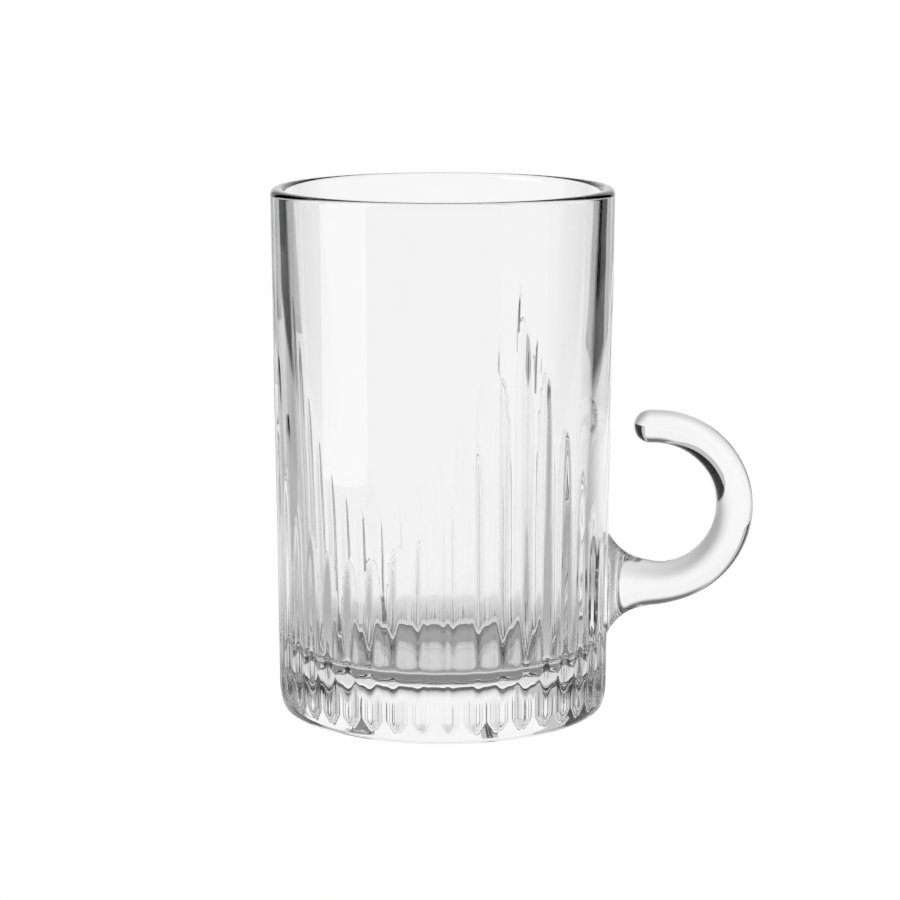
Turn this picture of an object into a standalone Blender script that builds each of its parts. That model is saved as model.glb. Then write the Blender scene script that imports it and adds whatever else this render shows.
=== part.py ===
"""Glass teacup: a pressed tumbler with moulded flutes, and a curled glass rod fused to its wall as a handle.

Lengths are in metres and +Z is up. The cup's axis is Z, its flat foot stands on z = 0, and the handle
points along +X. The flutes rise and fall round the wall, and one of their low stretches is at the handle.
"""

from math import atan2, cos, exp, hypot, pi, radians, sin

import bmesh
import bpy

MM = 0.001

# Tumbler
HEIGHT = 95.2 * MM
RIM_RADIUS = 31.0 * MM  # outside of the wall, at the rim
HEEL_RADIUS = 30.2 * MM  # outside of the wall, where the heel starts
HEEL_HEIGHT = 4.6 * MM
HEEL_INSET = 1.0 * MM  # how far the heel draws in at the foot
RIM_WALL = 2.5 * MM  # thickness of the wall at the rim
FLOOR_WALL = 4.5 * MM  # thickness of the wall just above the floor
BASE_THICKNESS = 8.8 * MM
FLOOR_FILLET = 5.0 * MM  # height of the rounding between floor and wall
FILLET_REACH = 9.2 * MM  # how far that rounding reaches in over the floor
RIM_ROUND = 1.1 * MM
RIM_ROUND_LIMIT = 0.45  # most of the wall's thickness that the rounding takes from one side

# Flutes
CREST_COUNT = 3  # how often the flutes rise to a crest round the wall
FLUTES_PER_CREST = 14
FLUTE_DEPTH = 0.7 * MM
FLUTE_NARROWNESS = 2.0  # how narrow a flute is beside the ribs: 1 is as wide as they are
FLUTE_FOOT = 1.8 * MM  # height of the flutes' lower ends
FOOT_RUNOUT = 1.9 * MM  # height over which a flute deepens above its lower end
TOP_RUNOUT = 4.4 * MM  # how soon a flute deepens below its top: to about two thirds over this height
CREST_DROP = 20.1 * MM  # from the rim down to the top of the tallest flutes
VALLEY_HEIGHT = 32.2 * MM  # top of the shortest flutes
CREST_SPIKE = 1.2  # how rounded the line of flute tops is at a crest: 1 is a sharp peak
VALLEY_SWEEP = 2.2  # how flat that line runs out into a valley

# Handle
ARM_HEIGHT = 22.6 * MM  # centre of the rod where it meets the wall
LOOP_RADIUS = 14.6 * MM  # centreline of the rod round the loop
MOUTH = 4.2 * MM  # gap between the wall and the rod's free end
TIP_RUN = 0.9 * MM  # straight run of the rod from the loop to its rounded end
ARM_RADIUS = 3.7 * MM  # rod at the start of the loop
TIP_RADIUS = 3.0 * MM  # rod at its free end
FLARE = 5.8 * MM  # how far the fused root spreads beyond the rod
FLARE_LENGTH = 3.1 * MM  # how fast that spread fades along the rod
WELD_GAP = 0.3 * MM  # clearance between the handle's seat and the wall

# Fineness of the meshes
SEGMENTS_PER_FLUTE = 4
TOP_RINGS = 12  # rings of the wall over the stretch where the flutes fade out
ROUND_STEPS = 4  # steps of a rounded edge
ARM_STEPS = 9
LOOP_STEPS = 18
TIP_STEPS = 5
TIP_CLOSE = radians(84)  # how far round the free end goes before its small flat cap
ROD_RESOLUTION = 6
MERGE = 0.000001
SMOOTH_ANGLE = radians(40)

FLUTE_COUNT = CREST_COUNT * FLUTES_PER_CREST
FLUTE_PITCH = 2 * pi / FLUTE_COUNT
TURN_STEPS = FLUTE_COUNT * SEGMENTS_PER_FLUTE
CREST_HEIGHT = HEIGHT - CREST_DROP
FILLET_TOP = BASE_THICKNESS + FLOOR_FILLET

# Clear glass
GLASS_COLOUR = (0.95, 0.97, 0.97, 1.0)
GLASS_ROUGHNESS = 0.02
GLASS_IOR = 1.52


def outer_radius(z):
    """Outside of the wall at a height, before the flutes are cut."""
    share = (z - HEEL_HEIGHT) / (HEIGHT - HEEL_HEIGHT)
    return HEEL_RADIUS + (RIM_RADIUS - HEEL_RADIUS) * share


def inner_radius(z):
    """Inside of the wall at a height above the floor's fillet."""
    share = (z - FILLET_TOP) / (HEIGHT - FILLET_TOP)
    return outer_radius(z) - FLOOR_WALL - (RIM_WALL - FLOOR_WALL) * share


def arc(centre_r, centre_z, radius_r, radius_z, start, end):
    """Points of a quarter round in the section, from one angle to another in degrees."""
    angles = [radians(start + (end - start) * step / ROUND_STEPS) for step in range(ROUND_STEPS + 1)]
    return [(centre_r + radius_r * cos(angle), centre_z + radius_z * sin(angle)) for angle in angles]


def outside_section(clearance):
    """Points down the outer wall, from below the rim to the foot, close together where flutes fade out."""
    fade_low = VALLEY_HEIGHT - 2 * TOP_RUNOUT
    rings = [CREST_HEIGHT + (fade_low - CREST_HEIGHT) * step / TOP_RINGS for step in range(TOP_RINGS + 1)]
    wall = [(outer_radius(z) + clearance, z) for z in rings]
    heel_r = HEEL_RADIUS - HEEL_INSET + clearance
    return wall + arc(heel_r, HEEL_HEIGHT, HEEL_INSET, HEEL_HEIGHT, 0, -90)


def tumbler_section():
    """The turned section: from the floor's centre up the inside, over the rim and down the outside."""
    rim_round = min(RIM_ROUND, RIM_ROUND_LIMIT * RIM_WALL)
    rim_low = HEIGHT - rim_round
    points = [(0.0, BASE_THICKNESS)]
    fillet_r = inner_radius(FILLET_TOP) - FILLET_REACH
    points += arc(fillet_r, FILLET_TOP, FILLET_REACH, FLOOR_FILLET, -90, 0)
    points += arc(inner_radius(rim_low) + rim_round, rim_low, rim_round, rim_round, 180, 90)
    points += arc(outer_radius(rim_low) - rim_round, rim_low, rim_round, rim_round, 90, 0)
    points += outside_section(0.0)
    points.append((0.0, 0.0))
    return points


def flute_top(index):
    """Height of a flute's upper end. Flute 0 is at the handle, in a valley."""
    half_period = FLUTES_PER_CREST / 2
    to_valley = 1 - abs(index % FLUTES_PER_CREST - half_period) / half_period
    fall = (1 - to_valley**VALLEY_SWEEP) ** CREST_SPIKE
    return CREST_HEIGHT - (CREST_HEIGHT - VALLEY_HEIGHT) * fall


def flute_cut(angle, z):
    """How deep the flutes go into the wall, at an angle from the handle and a height."""
    index = round(angle / FLUTE_PITCH)
    across = (angle - index * FLUTE_PITCH) / (FLUTE_PITCH / 2)
    hollow = ((1 + cos(pi * across)) / 2) ** FLUTE_NARROWNESS
    below_top = max(0.0, flute_top(index) - z)
    share = min(1 - exp(-below_top / TOP_RUNOUT), (z - FLUTE_FOOT) / FOOT_RUNOUT)
    return FLUTE_DEPTH * max(0.0, share - 1 + hollow)


def press_flutes(mesh):
    """Move the outer wall of a turned mesh in to the bottom of the flutes."""
    for vertex in mesh.vertices:
        x, y, z = vertex.co
        radius = hypot(x, y)
        if radius > (outer_radius(z) + inner_radius(z)) / 2:
            shrink = 1 - flute_cut(atan2(y, x), z) / radius
            vertex.co = (x * shrink, y * shrink, z)


def evaluated_mesh(shape):
    """A welded mesh of an object with its modifiers applied. The object itself is removed."""
    depsgraph = bpy.context.evaluated_depsgraph_get()
    mesh = bpy.data.meshes.new_from_object(shape.evaluated_get(depsgraph))
    bpy.data.objects.remove(shape)
    weld = bmesh.new()
    weld.from_mesh(mesh)
    bmesh.ops.remove_doubles(weld, verts=weld.verts, dist=MERGE)
    weld.to_mesh(mesh)
    weld.free()
    return mesh


def turned_mesh(name, section):
    """A closed mesh turned round Z from a section that starts and ends on the axis."""
    line = bpy.data.meshes.new(name)
    edges = [(point, point + 1) for point in range(len(section) - 1)]
    line.from_pydata([(r, 0.0, z) for r, z in section], edges, [])
    shape = bpy.data.objects.new(name, line)
    bpy.context.scene.collection.objects.link(shape)
    screw = shape.modifiers.new("turn", "SCREW")
    screw.axis = "Z"
    screw.steps = TURN_STEPS
    screw.render_steps = TURN_STEPS
    screw.use_merge_vertices = True
    screw.merge_threshold = MERGE
    return evaluated_mesh(shape)


def glass(name):
    material = bpy.data.materials.new(name)
    material.use_nodes = True
    shader = material.node_tree.nodes["Principled BSDF"]
    shader.inputs["Base Color"].default_value = GLASS_COLOUR
    shader.inputs["Roughness"].default_value = GLASS_ROUGHNESS
    shader.inputs["Metallic"].default_value = 0.0
    shader.inputs["IOR"].default_value = GLASS_IOR
    shader.inputs["Transmission Weight"].default_value = 1.0
    return material


def finished(name, mesh, collection):
    """A glass piece of the cup, shaded smooth, in its collection."""
    mesh.shade_smooth()
    mesh.set_sharp_from_angle(angle=SMOOTH_ANGLE)
    mesh.materials.append(glass(name + "_glass"))
    piece = bpy.data.objects.new(name, mesh)
    collection.objects.link(piece)
    return piece


def make_cup_body(collection):
    """The pressed tumbler, with the flutes in its outer wall."""
    mesh = turned_mesh("cup_body", tumbler_section())
    press_flutes(mesh)
    return finished("cup_body", mesh, collection)


def rod_line():
    """Centreline of the handle's rod as (x, z, radius), from inside the wall to the rounded free end."""
    wall_x = outer_radius(ARM_HEIGHT)
    start_x = inner_radius(ARM_HEIGHT)
    loop_z = ARM_HEIGHT + LOOP_RADIUS
    top_z = loop_z + LOOP_RADIUS
    tip_x = outer_radius(top_z) + MOUTH + TIP_RADIUS
    loop_x = tip_x + TIP_RUN
    line = []
    for step in range(ARM_STEPS):
        x = start_x + (loop_x - start_x) * step / ARM_STEPS
        flare = FLARE * exp(-max(0.0, x - wall_x) / FLARE_LENGTH)
        line.append((x, ARM_HEIGHT, ARM_RADIUS + flare))
    for step in range(LOOP_STEPS + 1):
        turn = pi * step / LOOP_STEPS
        flare = FLARE * exp(-(loop_x - wall_x + LOOP_RADIUS * turn) / FLARE_LENGTH)
        radius = ARM_RADIUS + (TIP_RADIUS - ARM_RADIUS) * step / LOOP_STEPS + flare
        line.append((loop_x + LOOP_RADIUS * sin(turn), loop_z - LOOP_RADIUS * cos(turn), radius))
    for step in range(TIP_STEPS + 1):
        turn = TIP_CLOSE * step / TIP_STEPS
        line.append((tip_x - TIP_RADIUS * sin(turn), top_z, TIP_RADIUS * cos(turn)))
    return line


def rod_mesh():
    """The handle's rod as a closed tube, before its root is cut to the wall."""
    curve = bpy.data.curves.new("rod", "CURVE")
    curve.dimensions = "3D"
    curve.bevel_depth = 1.0
    curve.bevel_resolution = ROD_RESOLUTION
    curve.use_fill_caps = True
    line = rod_line()
    spline = curve.splines.new("POLY")
    spline.points.add(len(line) - 1)
    for point, (x, z, radius) in zip(spline.points, line):
        point.co = (x, 0.0, z, 1.0)
        point.radius = radius
    rod = bpy.data.objects.new("rod", curve)
    bpy.context.scene.collection.objects.link(rod)
    return evaluated_mesh(rod)


def make_handle(collection, cutters):
    """The curled rod, with its flared root cut to sit on the fluted wall."""
    handle = finished("handle", rod_mesh(), collection)
    section = [(0.0, HEIGHT), (outer_radius(HEIGHT) + WELD_GAP, HEIGHT)]
    section += outside_section(WELD_GAP)
    section.append((0.0, 0.0))
    mesh = turned_mesh("wall_clearance", section)
    press_flutes(mesh)
    cutter = bpy.data.objects.new("wall_clearance", mesh)
    cutter.hide_render = True
    cutter.display_type = "WIRE"
    cutters.objects.link(cutter)
    seat = handle.modifiers.new("seat", "BOOLEAN")
    seat.operation = "DIFFERENCE"
    seat.object = cutter
    return handle


def new_collection(name):
    collection = bpy.data.collections.new(name)
    bpy.context.scene.collection.children.link(collection)
    return collection


def main():
    for leftover in list(bpy.data.objects):
        bpy.data.objects.remove(leftover)
    cup = new_collection("glass_teacup")
    cutters = new_collection("cutters")
    make_cup_body(cup)
    make_handle(cup, cutters)


main()
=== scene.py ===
"""The look of the glass teacup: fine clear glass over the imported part, on a white floor in a plain studio.

Lengths are in metres, in the part's frame: the cup's axis is Z, its foot is on z = 0 and the handle is at +X.
Directions round the cup are given in degrees from straight behind it (+Y), growing towards the handle (+X).
"""

from math import atan2, cos, exp, hypot, pi, radians, sin

import bmesh
import bpy
from mathutils import Matrix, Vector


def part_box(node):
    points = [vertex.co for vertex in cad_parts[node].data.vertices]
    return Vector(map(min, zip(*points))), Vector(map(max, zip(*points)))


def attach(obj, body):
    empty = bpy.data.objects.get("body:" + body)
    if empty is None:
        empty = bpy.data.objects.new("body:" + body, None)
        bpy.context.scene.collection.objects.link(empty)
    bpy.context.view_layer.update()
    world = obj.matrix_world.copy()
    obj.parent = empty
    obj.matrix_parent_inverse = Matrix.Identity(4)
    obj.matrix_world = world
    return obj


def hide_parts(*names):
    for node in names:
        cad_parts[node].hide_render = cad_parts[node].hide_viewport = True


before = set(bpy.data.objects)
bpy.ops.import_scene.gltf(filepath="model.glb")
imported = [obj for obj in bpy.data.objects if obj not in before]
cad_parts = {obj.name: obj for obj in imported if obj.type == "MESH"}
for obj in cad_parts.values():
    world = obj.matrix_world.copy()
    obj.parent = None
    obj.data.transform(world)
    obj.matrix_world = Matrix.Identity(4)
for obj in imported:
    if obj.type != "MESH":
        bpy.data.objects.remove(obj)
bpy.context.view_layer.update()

MM = 0.001
body_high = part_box("cup_body")[1]

# Tumbler
HEIGHT = body_high.z
RIM_RADIUS = body_high.x
HEEL_RADIUS = 30.2 * MM
HEEL_HEIGHT = 4.6 * MM
HEEL_INSET = 1.0 * MM
RIM_WALL = 2.5 * MM
FLOOR_WALL = 4.5 * MM
BASE_THICKNESS = 8.8 * MM
FLOOR_FILLET = 5.0 * MM
FILLET_REACH = 9.2 * MM
RIM_ROUND = 1.1 * MM
FILLET_TOP = BASE_THICKNESS + FLOOR_FILLET

# Flutes
CREST_COUNT = 3
FLUTES_PER_CREST = 14
FLUTE_DEPTH = 0.7 * MM
FLUTE_NARROWNESS = 2.0
FLUTE_FOOT = 1.8 * MM
FOOT_RUNOUT = 1.9 * MM
TOP_RUNOUT = 4.4 * MM
CREST_HEIGHT = HEIGHT - 20.1 * MM
VALLEY_HEIGHT = 32.2 * MM
CREST_SPIKE = 1.2
VALLEY_SWEEP = 2.2
FLUTE_COUNT = CREST_COUNT * FLUTES_PER_CREST
FLUTE_PITCH = 2 * pi / FLUTE_COUNT

# Handle
ARM_HEIGHT = 22.6 * MM
LOOP_RADIUS = 14.6 * MM
MOUTH = 4.2 * MM
TIP_RUN = 0.9 * MM
ARM_RADIUS = 3.7 * MM
TIP_RADIUS = 3.0 * MM
FLARE = 5.8 * MM
FLARE_LENGTH = 3.1 * MM
SIDE_FLARE = 2.4 * MM
SIDE_FLARE_LENGTH = 0.9 * MM
ROOT_COVER = 1.0 * MM

# Fineness of the glass
SEGMENTS_PER_FLUTE = 12
FADE_RINGS = 96
HEEL_STEPS = 20
ROUND_STEPS = 10
FILLET_STEPS = 24
ROD_SIDES = 96
ARM_STEPS = 100
LOOP_STEPS = 120
TIP_STEPS = 14
TIP_CLOSE = radians(88)
PLAIN_EDGE = 0.1 * MM
MERGE = 0.0000005
SHARP_ANGLE = radians(40)

# Glass: waves are how many swells of the surface fit in a metre, and a rise is how high they are
GLASS_IOR = 1.52
DULLEST_POLISH = 0.03
BODY_WAVES = 90.0
BODY_RISE = 0.02 * MM
HANDLE_WAVES = 140.0
HANDLE_RISE = 0.015 * MM
GLASS_BOUNCES = 24
REFLECTION_BOUNCES = 12

# Camera, from the photograph's outline of the cup
CAMERA_PLACE = (22.24 * MM, -499.56 * MM, 141.37 * MM)
CAMERA_PITCH = 0.1864
CAMERA_TURN = radians(2.4)
CAMERA_LENS = 111.3

# Studio: tones are brightnesses, and an edge is where one tone gives way to the next
FLOOR_DROP = 0.1 * MM
FLOOR_REACH = 3.0
ROOM_RADIUS = 2.5
# Painted light and shade on the table under the foot: a painted pool of light in the middle, then a ring of
# painted shade
FOOT_LIGHT_POOL_TONE = 0.55
FOOT_MIDDLE_EDGE = (12 * MM, 15 * MM)
FOOT_SHADE_TONE = 0.24
FOOT_SHADE_EDGE = (25 * MM, 29 * MM)
# Painted soft shadow on the table round the foot, fading out into the open table
CONTACT_SHADOW_TONE = 0.75
CONTACT_EDGE = (31 * MM, 90 * MM)
# Painted light and shade on the open table: greyer at the sides and in front, brighter behind the cup where
# the light comes from
TABLE_SHADE_TONE = 0.45
TABLE_BACKLIT_TONE = 0.98
TABLE_BACK_EDGE = (0.55, 0.95)
ROOM_FRONT_TONE = 0.15
ROOM_BACK_TONE = 0.95
ROOM_BACK_EDGE = (-0.5 * ROOM_RADIUS, 0.7 * ROOM_RADIUS)
TOP_TONE = 0.1
TOP_EDGE = (0.3 * ROOM_RADIUS, 0.6 * ROOM_RADIUS)
CARD_FOOT_EDGE = (0.0, 8 * MM)

# Cards and lights stand from one (direction, distance) to another
CARD_HEIGHT = 400 * MM
DARK_CARD_TONE = 0.0
GREY_CARD_TONE = 0.55
LEFT_CARD = ((-36.5, 410 * MM), (-72.0, 225 * MM))
LEFT_GREY_CARD = ((-24.0, 370 * MM), (-36.5, 370 * MM))
RIGHT_CARD = ((31.0, 312 * MM), (66.0, 245 * MM))
RIGHT_GREY_CARD = ((21.5, 350 * MM), (31.0, 312 * MM))
LIGHT_HEIGHT = 500 * MM
FRONT_LEFT_STRENGTH = 1.75
FRONT_RIGHT_STRENGTH = 0.75
FRONT_LEFT_LIGHT = ((226.0, 245 * MM), (261.0, 245 * MM))
FRONT_RIGHT_LIGHT = ((108.0, 245 * MM), (141.0, 245 * MM))


def outer_radius(z):
    """Outside of the wall at a height, before the flutes are cut."""
    share = (z - HEEL_HEIGHT) / (HEIGHT - HEEL_HEIGHT)
    return HEEL_RADIUS + (RIM_RADIUS - HEEL_RADIUS) * share


def inner_radius(z):
    """Inside of the wall at a height above the floor's fillet."""
    share = (z - FILLET_TOP) / (HEIGHT - FILLET_TOP)
    return outer_radius(z) - FLOOR_WALL - (RIM_WALL - FLOOR_WALL) * share


def spread(start, end, count):
    return [start + (end - start) * step / count for step in range(count + 1)]


def arc(centre_r, centre_z, radius_r, radius_z, start, end, steps):
    """Points of a quarter round in the section, from one angle to another in degrees."""
    angles = [radians(angle) for angle in spread(start, end, steps)]
    return [(centre_r + radius_r * cos(angle), centre_z + radius_z * sin(angle)) for angle in angles]


def body_section():
    """The turned section of the tumbler, from the floor's centre up the inside and down the outside.

    A ring close to each rounded edge keeps the shading of the plain wall, floor and foot even.
    """
    rim_low = HEIGHT - RIM_ROUND
    fillet_r = inner_radius(FILLET_TOP) - FILLET_REACH
    foot_r = HEEL_RADIUS - HEEL_INSET
    fade_low = VALLEY_HEIGHT - 3 * TOP_RUNOUT
    points = [(0.0, BASE_THICKNESS), (fillet_r - PLAIN_EDGE, BASE_THICKNESS)]
    points += arc(fillet_r, FILLET_TOP, FILLET_REACH, FLOOR_FILLET, -90, 0, FILLET_STEPS)
    points += [(inner_radius(z), z) for z in (FILLET_TOP + PLAIN_EDGE, rim_low - PLAIN_EDGE)]
    points += arc(inner_radius(rim_low) + RIM_ROUND, rim_low, RIM_ROUND, RIM_ROUND, 180, 90, ROUND_STEPS)
    points += arc(outer_radius(rim_low) - RIM_ROUND, rim_low, RIM_ROUND, RIM_ROUND, 90, 0, ROUND_STEPS)
    points.append((outer_radius(rim_low - PLAIN_EDGE), rim_low - PLAIN_EDGE))
    points += [(outer_radius(z), z) for z in spread(CREST_HEIGHT + 1 * MM, fade_low, FADE_RINGS)]
    points.append((outer_radius(HEEL_HEIGHT + PLAIN_EDGE), HEEL_HEIGHT + PLAIN_EDGE))
    points += arc(foot_r, HEEL_HEIGHT, HEEL_INSET, HEEL_HEIGHT, 0, -90, HEEL_STEPS)
    points += [(foot_r - PLAIN_EDGE, 0.0), (0.0, 0.0)]
    return points


def flute_top(index):
    """Height of a flute's upper end. Flute 0 is at the handle, in a valley."""
    half_period = FLUTES_PER_CREST / 2
    to_valley = 1 - abs(index % FLUTES_PER_CREST - half_period) / half_period
    fall = (1 - to_valley**VALLEY_SWEEP) ** CREST_SPIKE
    return CREST_HEIGHT - (CREST_HEIGHT - VALLEY_HEIGHT) * fall


def flute_cut(angle, z):
    """How deep the flutes go into the wall, at an angle from the handle and a height."""
    index = round(angle / FLUTE_PITCH)
    across = (angle - index * FLUTE_PITCH) / (FLUTE_PITCH / 2)
    hollow = ((1 + cos(pi * across)) / 2) ** FLUTE_NARROWNESS
    below_top = max(0.0, flute_top(index) - z)
    share = min(1 - exp(-below_top / TOP_RUNOUT), (z - FLUTE_FOOT) / FOOT_RUNOUT)
    return FLUTE_DEPTH * max(0.0, share - 1 + hollow)


def press_flutes(shape):
    for vertex in shape.verts:
        x, y, z = vertex.co
        radius = hypot(x, y)
        if radius > (outer_radius(z) + inner_radius(z)) / 2:
            shrink = 1 - flute_cut(atan2(y, x), z) / radius
            vertex.co = (x * shrink, y * shrink, z)


def body_shape():
    shape = bmesh.new()
    points = [shape.verts.new((r, 0.0, z)) for r, z in body_section()]
    line = [shape.edges.new(pair) for pair in zip(points, points[1:])]
    bmesh.ops.spin(
        shape, geom=points + line, axis=(0, 0, 1), cent=(0, 0, 0), angle=2 * pi,
        steps=FLUTE_COUNT * SEGMENTS_PER_FLUTE, use_merge=True,
    )
    bmesh.ops.remove_doubles(shape, verts=shape.verts, dist=MERGE)
    press_flutes(shape)
    bmesh.ops.recalc_face_normals(shape, faces=shape.faces)
    return shape


def rod_line():
    """Centreline of the rod as (x, z, turn, tall, wide), from inside the wall to the free end.

    Tall and wide are the section's half sizes. At the root it spreads more up and down than sideways.
    """
    wall_x = outer_radius(ARM_HEIGHT)
    start_x = inner_radius(ARM_HEIGHT) + ROOT_COVER
    loop_z = ARM_HEIGHT + LOOP_RADIUS
    top_z = loop_z + LOOP_RADIUS
    tip_x = outer_radius(top_z) + MOUTH + TIP_RADIUS
    loop_x = tip_x + TIP_RUN
    line = []
    for x in spread(start_x, loop_x, ARM_STEPS)[:-1]:
        out = max(0.0, x - wall_x)
        tall = ARM_RADIUS + FLARE * exp(-out / FLARE_LENGTH)
        wide = ARM_RADIUS + SIDE_FLARE * exp(-out / SIDE_FLARE_LENGTH)
        line.append((x, ARM_HEIGHT, 0.0, tall, wide))
    for turn in spread(0.0, pi, LOOP_STEPS):
        flare = FLARE * exp(-(loop_x - wall_x + LOOP_RADIUS * turn) / FLARE_LENGTH)
        radius = ARM_RADIUS + (TIP_RADIUS - ARM_RADIUS) * turn / pi
        x = loop_x + LOOP_RADIUS * sin(turn)
        z = loop_z - LOOP_RADIUS * cos(turn)
        line.append((x, z, turn, radius + flare, radius))
    for turn in spread(0.0, TIP_CLOSE, TIP_STEPS):
        radius = TIP_RADIUS * cos(turn)
        line.append((tip_x - TIP_RADIUS * sin(turn), top_z, pi, radius, radius))
    return line


def ring_place(x, z, turn, tall, wide):
    """Where a unit circle goes to lie square across the rod, and how far it is stretched."""
    across = Matrix.Rotation(pi / 2, 4, "Y")
    turned = Matrix.Rotation(-turn, 4, "Y")
    stretch = Matrix.Diagonal((tall, wide, 1.0, 1.0))
    return Matrix.Translation((x, 0.0, z)) @ turned @ across @ stretch


def rod_shape():
    shape = bmesh.new()
    line = rod_line()
    ring = bmesh.ops.create_circle(shape, segments=ROD_SIDES, radius=1.0, cap_ends=True)["verts"]
    place = ring_place(*line[0])
    bmesh.ops.transform(shape, matrix=place, verts=ring)
    edges = list(shape.edges)
    for station in line[1:]:
        made = bmesh.ops.extrude_edge_only(shape, edges=edges)["geom"]
        ring = [part for part in made if isinstance(part, bmesh.types.BMVert)]
        edges = [part for part in made if isinstance(part, bmesh.types.BMEdge) and part.is_boundary]
        next_place = ring_place(*station)
        bmesh.ops.transform(shape, matrix=next_place @ place.inverted(), verts=ring)
        place = next_place
    bmesh.ops.holes_fill(shape, edges=edges, sides=ROD_SIDES)
    bmesh.ops.recalc_face_normals(shape, faces=shape.faces)
    return shape


def mesh_object(name, shape, materials):
    mesh = bpy.data.meshes.new(name)
    shape.to_mesh(mesh)
    shape.free()
    for material in materials:
        mesh.materials.append(material)
    piece = bpy.data.objects.new(name, mesh)
    bpy.context.scene.collection.objects.link(piece)
    return piece


def less(piece, cutter):
    """The piece with the cutter taken away, and the faces that the cutter left."""
    cut = piece.modifiers.new("cut", "BOOLEAN")
    cut.operation = "DIFFERENCE"
    cut.material_mode = "TRANSFER"
    cut.object = cutter
    depsgraph = bpy.context.evaluated_depsgraph_get()
    mesh = bpy.data.meshes.new_from_object(piece.evaluated_get(depsgraph))
    piece.modifiers.remove(cut)
    shape = bmesh.new()
    shape.from_mesh(mesh)
    own = piece.data.materials[0]
    left = [face for face in shape.faces if mesh.materials[face.material_index] != own]
    bpy.data.meshes.remove(mesh)
    for face in shape.faces:
        face.material_index = 0
    for face in left:
        face.material_index = 1
    return shape, left


def fuse(body, rod):
    """Cut the rod to the wall, and give the body the same patch in place of its own wall there."""
    handle_cut = less(rod, body)[0]
    body_cut, dimple = less(body, rod)
    bmesh.ops.delete(body_cut, geom=dimple, context="FACES")
    patch = handle_cut.copy()
    outside = [face for face in patch.faces if face.material_index == 0]
    bmesh.ops.delete(patch, geom=outside, context="FACES")
    patch_mesh = bpy.data.meshes.new("patch")
    patch.to_mesh(patch_mesh)
    patch.free()
    body_cut.from_mesh(patch_mesh)
    bpy.data.meshes.remove(patch_mesh)
    for shape in (handle_cut, body_cut):
        bmesh.ops.remove_doubles(shape, verts=shape.verts, dist=MERGE)
        bmesh.ops.recalc_face_normals(shape, faces=shape.faces)
    return body_cut, handle_cut


def coordinate(tree):
    return tree.nodes.new("ShaderNodeTexCoord").outputs["Object"]


def glass(name, waves, rise):
    """Clear glass with the faint unevenness of a surface that set while soft."""
    material = bpy.data.materials.new(name)
    material.use_nodes = True
    tree = material.node_tree
    shader = tree.nodes["Principled BSDF"]
    shader.inputs["Base Color"].default_value = (1.0, 1.0, 1.0, 1.0)
    shader.inputs["IOR"].default_value = GLASS_IOR
    shader.inputs["Transmission Weight"].default_value = 1.0
    place = coordinate(tree)
    swell = tree.nodes.new("ShaderNodeTexNoise")
    swell.inputs["Scale"].default_value = waves
    swell.inputs["Detail"].default_value = 1.0
    tree.links.new(place, swell.inputs["Vector"])
    bump = tree.nodes.new("ShaderNodeBump")
    bump.inputs["Distance"].default_value = rise
    tree.links.new(swell.outputs["Fac"], bump.inputs["Height"])
    tree.links.new(bump.outputs["Normal"], shader.inputs["Normal"])
    polish = tree.nodes.new("ShaderNodeMapRange")
    polish.inputs["To Min"].default_value = 0.0
    polish.inputs["To Max"].default_value = DULLEST_POLISH
    tree.links.new(swell.outputs["Fac"], polish.inputs["Value"])
    tree.links.new(polish.outputs["Result"], shader.inputs["Roughness"])
    return material


def fused_seam():
    """Where the handle's root and the wall are one glass: nothing shows there."""
    material = bpy.data.materials.new("fused_seam")
    material.use_nodes = True
    nodes = material.node_tree.nodes
    nodes.clear()
    clear = nodes.new("ShaderNodeBsdfTransparent")
    out = nodes.new("ShaderNodeOutputMaterial")
    material.node_tree.links.new(clear.outputs["BSDF"], out.inputs["Surface"])
    return material


def make_cup():
    body_glass = glass("body_clear_glass", BODY_WAVES, BODY_RISE)
    handle_glass = glass("handle_clear_glass", HANDLE_WAVES, HANDLE_RISE)
    seam = fused_seam()
    body_raw = mesh_object("body_raw", body_shape(), [body_glass])
    rod_raw = mesh_object("rod_raw", rod_shape(), [handle_glass])
    body_cut, handle_cut = fuse(body_raw, rod_raw)
    bpy.data.objects.remove(body_raw)
    bpy.data.objects.remove(rod_raw)
    body = mesh_object("glass_body", body_cut, [body_glass, seam])
    handle = mesh_object("glass_handle", handle_cut, [handle_glass, seam])
    for piece, node, slot in ((body, "cup_body", "body_glass"), (handle, "handle", "handle_glass")):
        piece.data.shade_smooth()
        piece.data.set_sharp_from_angle(angle=SHARP_ANGLE)
        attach(piece, "root")
        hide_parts(node)


def make_camera():
    data = bpy.data.cameras.new("camera")
    data.sensor_width = 36.0
    data.lens = CAMERA_LENS
    data.clip_start = 0.01
    camera = bpy.data.objects.new("camera", data)
    camera.location = CAMERA_PLACE
    camera.rotation_euler = (pi / 2 - CAMERA_PITCH, 0.0, CAMERA_TURN)
    bpy.context.scene.collection.objects.link(camera)
    bpy.context.scene.camera = camera


def light_material(name):
    """A plain glowing surface, and its emission shader."""
    material = bpy.data.materials.new(name)
    material.use_nodes = True
    nodes = material.node_tree.nodes
    nodes.clear()
    light = nodes.new("ShaderNodeEmission")
    out = nodes.new("ShaderNodeOutputMaterial")
    material.node_tree.links.new(light.outputs["Emission"], out.inputs["Surface"])
    return material, light


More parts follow.
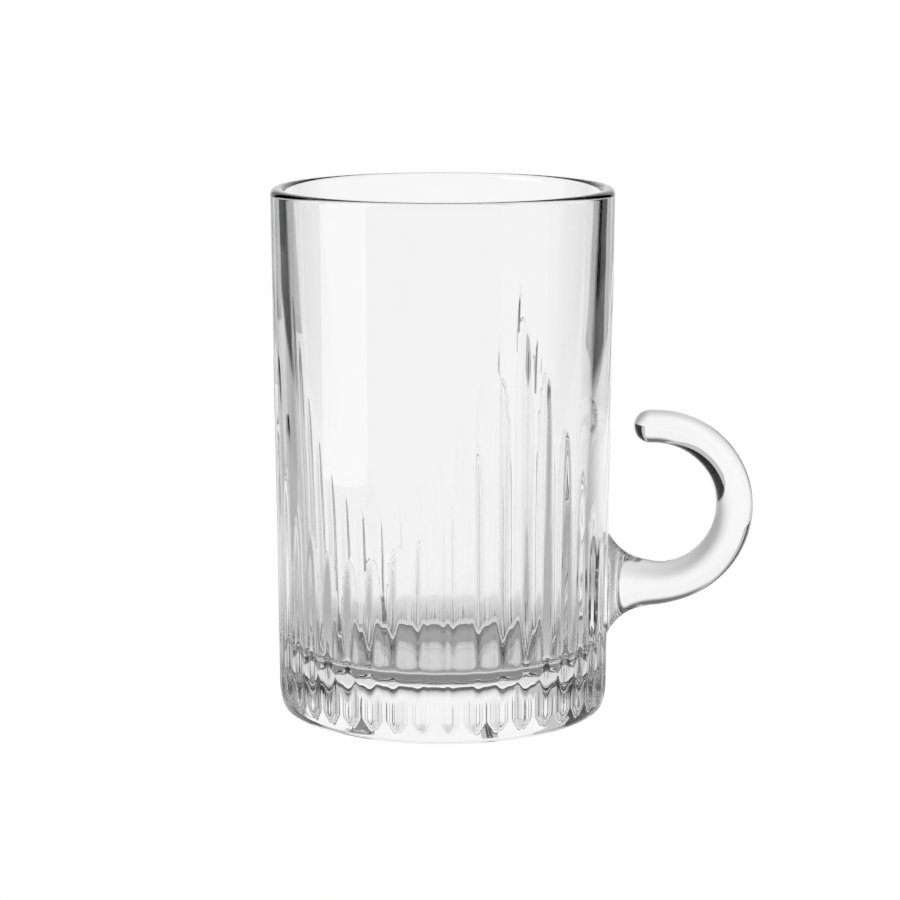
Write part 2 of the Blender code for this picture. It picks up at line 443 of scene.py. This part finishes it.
def blend(tree, amount, edge, first, second):
    """One tone below the edge's start, another above its end, and a smooth change between them."""
    share = tree.nodes.new("ShaderNodeMapRange")
    share.interpolation_type = "SMOOTHSTEP"
    share.inputs["From Min"].default_value = edge[0]
    share.inputs["From Max"].default_value = edge[1]
    tree.links.new(amount, share.inputs["Value"])
    mix = tree.nodes.new("ShaderNodeMix")
    mix.data_type = "RGBA"
    tree.links.new(share.outputs["Result"], mix.inputs["Factor"])
    # A colour mix has its two colours on sockets 6 and 7, and its result on socket 2
    for socket, tone in ((mix.inputs[6], first), (mix.inputs[7], second)):
        if isinstance(tone, float):
            socket.default_value = (tone, tone, tone, 1.0)
        else:
            tree.links.new(tone, socket)
    return mix.outputs[2]


def along(tree, place, axis):
    """How far a place lies along an axis."""
    parts = tree.nodes.new("ShaderNodeSeparateXYZ")
    tree.links.new(place, parts.inputs["Vector"])
    return parts.outputs[axis]


def table_material():
    """What the glass sees of the table, a glowing sheet with painted light and shade: bright behind the cup
    and greyer at its sides and in front, with a painted soft shadow round and under its foot and a painted
    pool of light in the middle.
    """
    material, light = light_material("table_painted_light_and_shade")
    tree = material.node_tree
    place = coordinate(tree)
    away = tree.nodes.new("ShaderNodeVectorMath")
    away.operation = "LENGTH"
    tree.links.new(place, away.inputs[0])
    radius = away.outputs["Value"]
    direction = tree.nodes.new("ShaderNodeVectorMath")
    direction.operation = "NORMALIZE"
    tree.links.new(place, direction.inputs[0])
    # 1 straight behind the cup, and -1 straight in front of it
    back = along(tree, direction.outputs["Vector"], "Y")
    # Painted light and shade: the table brighter behind the cup, greyer at its sides and in front
    table = blend(tree, back, TABLE_BACK_EDGE, TABLE_SHADE_TONE, TABLE_BACKLIT_TONE)
    # Painted shade under the foot with a painted pool of light in its middle, then a painted soft shadow
    # round the foot
    tone = blend(tree, radius, FOOT_MIDDLE_EDGE, FOOT_LIGHT_POOL_TONE, FOOT_SHADE_TONE)
    tone = blend(tree, radius, FOOT_SHADE_EDGE, tone, CONTACT_SHADOW_TONE)
    tone = blend(tree, radius, CONTACT_EDGE, tone, table)
    tree.links.new(tone, light.inputs["Color"])
    return material


def room_material():
    """What the glass sees of the studio: a bright back, darker towards the camera and overhead."""
    material, light = light_material("room_tones")
    tree = material.node_tree
    place = coordinate(tree)
    tone = blend(tree, along(tree, place, "Y"), ROOM_BACK_EDGE, ROOM_FRONT_TONE, ROOM_BACK_TONE)
    tone = blend(tree, along(tree, place, "Z"), TOP_EDGE, tone, TOP_TONE)
    tree.links.new(tone, light.inputs["Color"])
    return material


def for_glass_only(piece):
    """Studio things that the glass shows but the camera doesn't see directly."""
    piece.visible_camera = False


def make_table():
    shape = bmesh.new()
    bmesh.ops.create_grid(shape, x_segments=1, y_segments=1, size=FLOOR_REACH)
    bmesh.ops.translate(shape, verts=shape.verts, vec=(0, 0, -FLOOR_DROP))
    for_glass_only(mesh_object("table", shape, [table_material()]))


def make_room():
    shape = bmesh.new()
    bmesh.ops.create_uvsphere(shape, u_segments=96, v_segments=48, radius=ROOM_RADIUS)
    for_glass_only(mesh_object("room", shape, [room_material()]))


def make_floor():
    """The white floor that the camera sees round the cup."""
    shape = bmesh.new()
    bmesh.ops.create_grid(shape, x_segments=1, y_segments=1, size=FLOOR_REACH)
    bmesh.ops.translate(shape, verts=shape.verts, vec=(0, 0, -2 * FLOOR_DROP))
    material, light = light_material("white_floor")
    light.inputs["Strength"].default_value = 1.0
    floor = mesh_object("floor", shape, [material])
    floor.visible_transmission = False
    floor.visible_glossy = False


def upright(name, ends, height, material):
    """A card or soft light standing on the table between two ends."""
    shape = bmesh.new()
    foot = []
    for direction, distance in ends:
        angle = radians(direction)
        foot.append(shape.verts.new((distance * sin(angle), distance * cos(angle), 0.0)))
    edge = shape.edges.new(foot)
    made = bmesh.ops.extrude_edge_only(shape, edges=[edge])["geom"]
    top = [part for part in made if isinstance(part, bmesh.types.BMVert)]
    bmesh.ops.translate(shape, verts=top, vec=(0, 0, height))
    panel = mesh_object(name, shape, [material])
    for_glass_only(panel)
    return panel


def make_card(name, ends, tone):
    """A tall card that fades into the table at its foot."""
    material, light = light_material(name)
    tree = material.node_tree
    height = along(tree, coordinate(tree), "Z")
    # At its foot the card takes on the table's painted shade
    tree.links.new(blend(tree, height, CARD_FOOT_EDGE, TABLE_SHADE_TONE, tone), light.inputs["Color"])
    upright(name, ends, CARD_HEIGHT, material)


def make_soft_light(name, ends, strength):
    """A tall light that shows only as a reflection on the outside of the glass."""
    material, light = light_material(name)
    light.inputs["Strength"].default_value = strength
    upright(name, ends, LIGHT_HEIGHT, material).visible_transmission = False


def make_world():
    world = bpy.data.worlds.new("studio")
    world.use_nodes = True
    world.node_tree.nodes["Background"].inputs["Color"].default_value = (1, 1, 1, 1)
    bpy.context.scene.world = world


def main():
    make_camera()
    make_cup()
    make_world()
    make_floor()
    make_table()
    make_room()
    make_card("left_card", LEFT_CARD, DARK_CARD_TONE)
    make_card("left_grey_card", LEFT_GREY_CARD, GREY_CARD_TONE)
    make_card("right_card", RIGHT_CARD, DARK_CARD_TONE)
    make_card("right_grey_card", RIGHT_GREY_CARD, GREY_CARD_TONE)
    make_soft_light("front_left_light", FRONT_LEFT_LIGHT, FRONT_LEFT_STRENGTH)
    make_soft_light("front_right_light", FRONT_RIGHT_LIGHT, FRONT_RIGHT_STRENGTH)
    scene = bpy.context.scene
    scene.view_settings.view_transform = "Standard"
    scene.cycles.max_bounces = GLASS_BOUNCES
    scene.cycles.transmission_bounces = GLASS_BOUNCES
    scene.cycles.transparent_max_bounces = GLASS_BOUNCES
    scene.cycles.glossy_bounces = REFLECTION_BOUNCES


main()
